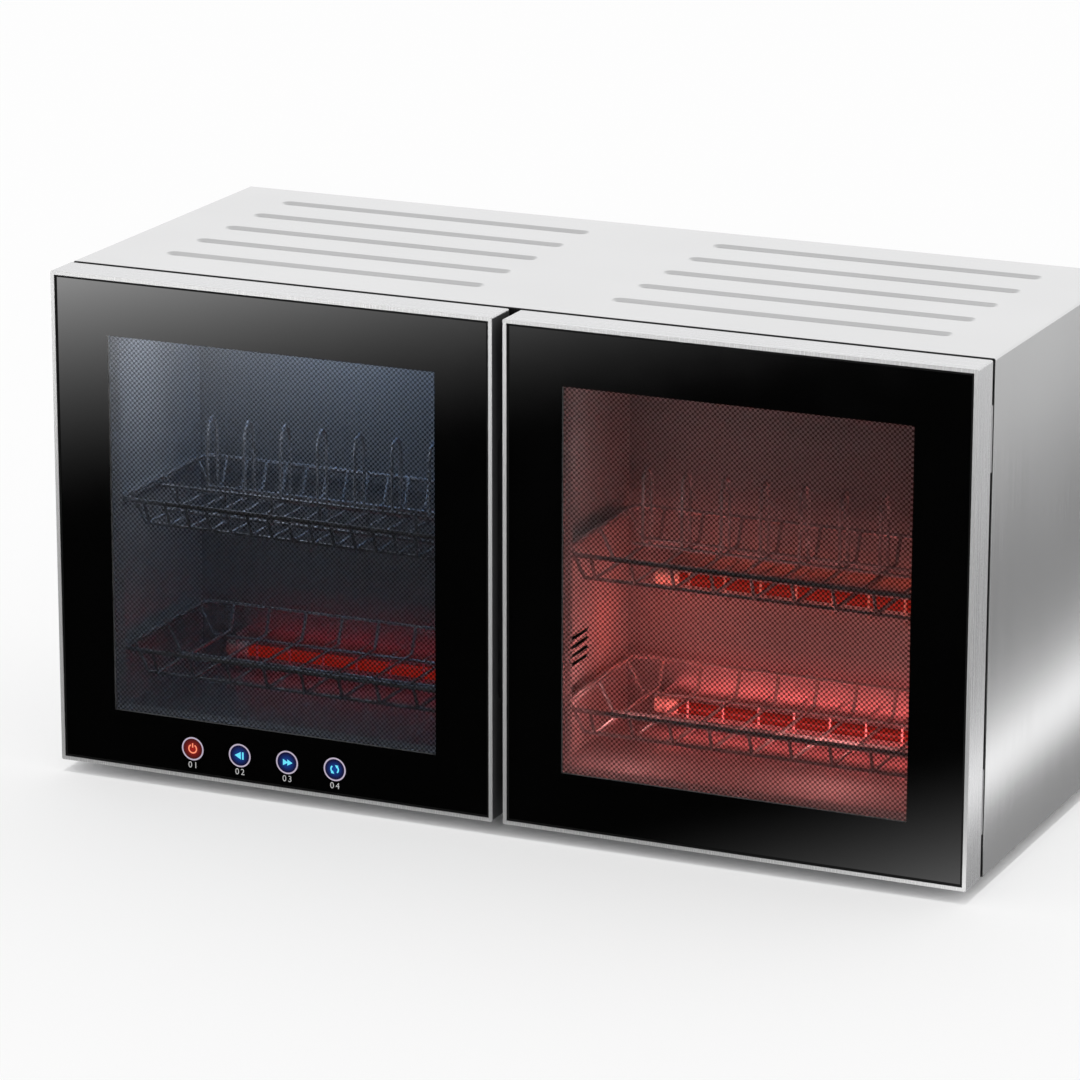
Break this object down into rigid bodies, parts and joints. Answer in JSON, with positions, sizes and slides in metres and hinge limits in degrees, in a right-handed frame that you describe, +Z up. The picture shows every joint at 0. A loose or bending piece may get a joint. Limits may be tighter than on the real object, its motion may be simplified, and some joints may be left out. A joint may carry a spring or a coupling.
{
  "type": "dish sterilizer cabinet",
  "caption": "Horizontal steel cabinet with glazed double doors, mirror-lined chambers, sliding wire dish racks, quartz heaters and a germicidal lamp.",
  "frame": {"origin": "on the floor under the middle of the cabinet, doors shut", "axes": "+X to the viewer's right along the long side, +Y to the back, +Z up"},
  "size_m": [0.765, 0.34, 0.41],
  "materials": {
    "casing_steel": "brushed stainless steel",
    "rear_sheet": "zinc-coated sheet",
    "black_moulding": "fine-grained black moulding",
    "mirror_steel": "mirror-polished stainless steel",
    "foot_rubber": "matte rubber",
    "zinc_screw": "zinc-plated",
    "circuit_board": "solder-masked board",
    "white_moulding": "white heat-resistant moulding",
    "hinge_steel": "plain steel",
    "lamp_glass": "lit ultraviolet tube",
    "key_light": "lit ring",
    "rack_wire": "polished stainless wire",
    "door_metal": "brushed",
    "door_glass": "clear pane with a black printed border and a dotted window",
    "panel_grey": "smooth grey moulding",
    "seal_rubber": "soft black seal",
    "quartz_tube": "glowing quartz",
    "ceramic": "unglazed ceramic"
  },
  "bodies": {
    "cabinet": {"outer_shell": "casing_steel", "back_panel": "rear_sheet", "base_pan": "rear_sheet", "front_frame": "black_moulding", "left_chamber_liner": "mirror_steel", "right_chamber_liner": "mirror_steel", "left_rack_ledges": "mirror_steel", "right_rack_ledges": "mirror_steel", "feet": "foot_rubber", "foot_screws": "zinc_screw", "base_screws": "zinc_screw", "back_screws": "zinc_screw", "cable_gland": "black_moulding", "electrics_bracket": "rear_sheet", "power_board": "circuit_board", "lamp_ballast": "white_moulding", "terminal_block": "white_moulding", "thermal_cutouts": "black_moulding", "door_switches": "white_moulding", "hinge_body_leaves": "hinge_steel", "hinge_pins": "hinge_steel", "uv_lamp_tube": "lamp_glass", "uv_lamp_sockets": "white_moulding", "left_lower_heater_tube": "quartz_tube", "left_lower_heater_caps": "ceramic", "left_lower_heater_guard": "mirror_steel", "right_lower_heater_tube": "quartz_tube", "right_lower_heater_caps": "ceramic", "right_lower_heater_guard": "mirror_steel", "right_middle_heater_tube": "quartz_tube", "right_middle_heater_caps": "ceramic", "right_middle_heater_guard": "mirror_steel"},
    "left_door": {"left_door_frame": "door_metal", "left_door_glass": "door_glass", "left_door_inner_panel": "panel_grey", "left_door_grip": "black_moulding", "left_door_gasket": "seal_rubber", "left_door_magnet": "hinge_steel", "left_door_hinge_leaves": "hinge_steel", "touch_board": "circuit_board", "key_light_rings": "key_light"},
    "right_door": {"right_door_frame": "door_metal", "right_door_glass": "door_glass", "right_door_inner_panel": "panel_grey", "right_door_grip": "black_moulding", "right_door_gasket": "seal_rubber", "right_door_magnet": "hinge_steel", "right_door_hinge_leaves": "hinge_steel"},
    "left_upper_rack": {"left_upper_rack_basket": "rack_wire", "left_upper_plate_dividers": "rack_wire", "left_upper_cutlery_fence": "rack_wire"},
    "left_lower_rack": {"left_lower_rack_basket": "rack_wire"},
    "right_upper_rack": {"right_upper_rack_basket": "rack_wire", "right_upper_plate_dividers": "rack_wire"},
    "right_lower_rack": {"right_lower_rack_basket": "rack_wire"}
  },
  "joints": [
    {"name": "left_door_hinge", "type": "hinge", "parent": "cabinet", "child": "left_door", "pos_m": [-0.3803, -0.1355, 0.21], "axis": [0, 0, -1], "range_deg": [0, 100]},
    {"name": "right_door_hinge", "type": "hinge", "parent": "cabinet", "child": "right_door", "pos_m": [0.3803, -0.1355, 0.21], "axis": [0, 0, 1], "range_deg": [0, 100]},
    {"name": "left_upper_rack_slide", "type": "slide", "parent": "cabinet", "child": "left_upper_rack", "axis": [0, -1, 0], "range_m": [0, 0.022]},
    {"name": "left_lower_rack_slide", "type": "slide", "parent": "cabinet", "child": "left_lower_rack", "axis": [0, -1, 0], "range_m": [0, 0.022]},
    {"name": "right_upper_rack_slide", "type": "slide", "parent": "cabinet", "child": "right_upper_rack", "axis": [0, -1, 0], "range_m": [0, 0.022]},
    {"name": "right_lower_rack_slide", "type": "slide", "parent": "cabinet", "child": "right_lower_rack", "axis": [0, -1, 0], "range_m": [0, 0.022]}
  ]
}
